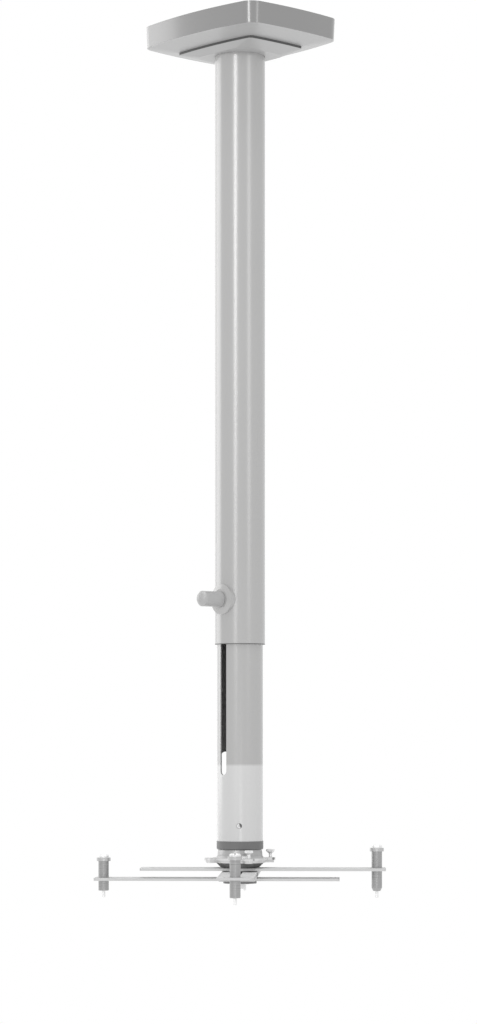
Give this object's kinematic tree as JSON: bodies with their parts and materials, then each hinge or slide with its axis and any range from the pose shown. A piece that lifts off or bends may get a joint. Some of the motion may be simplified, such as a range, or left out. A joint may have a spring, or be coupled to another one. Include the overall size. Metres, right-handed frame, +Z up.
{
  "type": "telescopic ceiling projector mount",
  "caption": "Silver telescopic ceiling mount for a projector with a ceiling cover, height clamp, ball joint and slotted arms.",
  "frame": {"origin": "centre of the ceiling plate's top face, at the centre of its hole pattern", "axes": "+Z up into the ceiling, +X along the ceiling plate's and cover's long side, -Y towards the clamp knob"},
  "size_m": [0.2742, 0.2742, 1.05],
  "materials": {
    "tube_paint": "satin silver paint on steel",
    "cover_plastic": "satin silver moulding",
    "knob_plastic": "satin silver moulding",
    "dark_plastic": "matt dark grey",
    "nylon": "natural nylon",
    "rubber": "matt black",
    "bright_metal": "satin turned",
    "arm_paint": "satin silver paint on steel",
    "post_metal": "satin anodised",
    "fastener_steel": "zinc plated",
    "bright_steel": "bright nickel plated"
  },
  "bodies": {
    "ceiling": {"ceiling_plate": "tube_paint", "tube_socket": "tube_paint", "socket_screws": "fastener_steel", "outer_tube": "tube_paint", "tube_fixing_screws": "fastener_steel", "clamp_boss": "tube_paint", "clamp_nut": "fastener_steel", "guide_ring": "dark_plastic"},
    "cover": {"ceiling_cover": "cover_plastic", "cover_grip_ring": "rubber"},
    "clamp": {"clamp_knob": "knob_plastic", "clamp_screw": "fastener_steel"},
    "column": {"inner_tube": "tube_paint", "glide_ring": "nylon", "end_cap": "dark_plastic", "plug_screw": "bright_steel", "pivot_nut": "fastener_steel"},
    "swivel": {"pivot_bolt": "fastener_steel", "ball_washer": "bright_metal"},
    "liner": {"ball_liner": "nylon"},
    "head": {"ball_bell": "bright_metal", "hub_plate": "bright_metal", "hub_cone": "dark_plastic", "centre_bolt": "fastener_steel", "clamp_disc": "dark_plastic", "centre_nut": "fastener_steel", "ear_pin": "bright_steel"},
    "thumb_right": {"thumb_screw_right": "bright_steel"},
    "thumb_front": {"thumb_screw_front": "bright_steel"},
    "thumb_back": {"thumb_screw_back": "bright_steel"},
    "arm_pivot_right": {"arm_washer_right": "dark_plastic"},
    "arm_right": {"arm_right": "arm_paint"},
    "post_right": {"post_sleeve_right": "post_metal", "post_spacer_right": "post_metal", "post_screw_right": "bright_steel"},
    "arm_pivot_front": {"arm_washer_front": "dark_plastic"},
    "arm_front": {"arm_front": "arm_paint"},
    "post_front": {"post_sleeve_front": "post_metal", "post_spacer_front": "post_metal", "post_screw_front": "bright_steel"},
    "arm_pivot_back": {"arm_washer_back": "dark_plastic"},
    "arm_back": {"arm_back": "arm_paint"},
    "post_back": {"post_sleeve_back": "post_metal", "post_spacer_back": "post_metal", "post_screw_back": "bright_steel"},
    "arm_pivot_left": {"arm_washer_left": "dark_plastic"},
    "arm_left": {"arm_left": "arm_paint"},
    "post_left": {"post_sleeve_left": "post_metal", "post_spacer_left": "post_metal", "post_screw_left": "bright_steel"}
  },
  "joints": [
    {"name": "cover_slide", "type": "slide", "parent": "ceiling", "child": "cover", "axis": [0, 0, 1], "range_m": [-0.6, 0.002]},
    {"name": "clamp_turn", "type": "hinge", "parent": "ceiling", "child": "clamp", "pos_m": [0, 0, -0.6934], "axis": [0, -1, 0], "range_deg": [0, 270]},
    {"name": "height_slide", "type": "slide", "parent": "ceiling", "child": "column", "axis": [0, 0, 1], "range_m": [-0.2, 0.2]},
    {"name": "head_swivel", "type": "hinge", "parent": "column", "child": "swivel", "pos_m": [0, 0, -1], "axis": [0, 0, 1], "continuous": true},
    {"name": "head_pitch", "type": "hinge", "parent": "swivel", "child": "liner", "pos_m": [0, 0, -1], "axis": [1, 0, 0], "range_deg": [-12, 12]},
    {"name": "head_roll", "type": "hinge", "parent": "liner", "child": "head", "pos_m": [0, 0, -1], "axis": [0, 1, 0], "range_deg": [-12, 12]},
    {"name": "thumb_turn_right", "type": "hinge", "parent": "head", "child": "thumb_right", "pos_m": [0.01725, 0.03386, -1], "axis": [0, 0, 1], "continuous": true},
    {"name": "thumb_turn_front", "type": "hinge", "parent": "head", "child": "thumb_front", "pos_m": [0.03386, -0.01725, -1], "axis": [0, 0, 1], "continuous": true},
    {"name": "thumb_turn_back", "type": "hinge", "parent": "head", "child": "thumb_back", "pos_m": [-0.03386, 0.01725, -1], "axis": [0, 0, 1], "continuous": true},
    {"name": "arm_swing_right", "type": "hinge", "parent": "head", "child": "arm_pivot_right", "pos_m": [0, 0, -1.02], "axis": [0, 0, 1], "range_deg": [-30, 30]},
    {"name": "arm_reach_right", "type": "slide", "parent": "arm_pivot_right", "child": "arm_right", "axis": [0.7071, 0.7071, 0], "range_m": [-0.005, 0.09]},
    {"name": "post_shift_right", "type": "slide", "parent": "arm_right", "child": "post_right", "axis": [0.7071, 0.7071, 0], "range_m": [-0.02, 0]},
    {"name": "arm_swing_front", "type": "hinge", "parent": "head", "child": "arm_pivot_front", "pos_m": [0, 0, -1.02], "axis": [0, 0, 1], "range_deg": [-30, 30]},
    {"name": "arm_reach_front", "type": "slide", "parent": "arm_pivot_front", "child": "arm_front", "axis": [0.7071, -0.7071, 0], "range_m": [-0.005, 0.09]},
    {"name": "post_shift_front", "type": "slide", "parent": "arm_front", "child": "post_front", "axis": [0.7071, -0.7071, 0], "range_m": [-0.02, 0]},
    {"name": "arm_swing_back", "type": "hinge", "parent": "head", "child": "arm_pivot_back", "pos_m": [0, 0, -1.02], "axis": [0, 0, 1], "range_deg": [-30, 30]},
    {"name": "arm_reach_back", "type": "slide", "parent": "arm_pivot_back", "child": "arm_back", "axis": [-0.7071, 0.7071, 0], "range_m": [-0.005, 0.09]},
    {"name": "post_shift_back", "type": "slide", "parent": "arm_back", "child": "post_back", "axis": [-0.7071, 0.7071, 0], "range_m": [-0.02, 0]},
    {"name": "arm_swing_left", "type": "hinge", "parent": "head", "child": "arm_pivot_left", "pos_m": [0, 0, -1.02], "axis": [0, 0, 1], "range_deg": [-30, 30]},
    {"name": "arm_reach_left", "type": "slide", "parent": "arm_pivot_left", "child": "arm_left", "axis": [-0.7071, -0.7071, 0], "range_m": [-0.005, 0.09]},
    {"name": "post_shift_left", "type": "slide", "parent": "arm_left", "child": "post_left", "axis": [-0.7071, -0.7071, 0], "range_m": [-0.02, 0]}
  ]
}
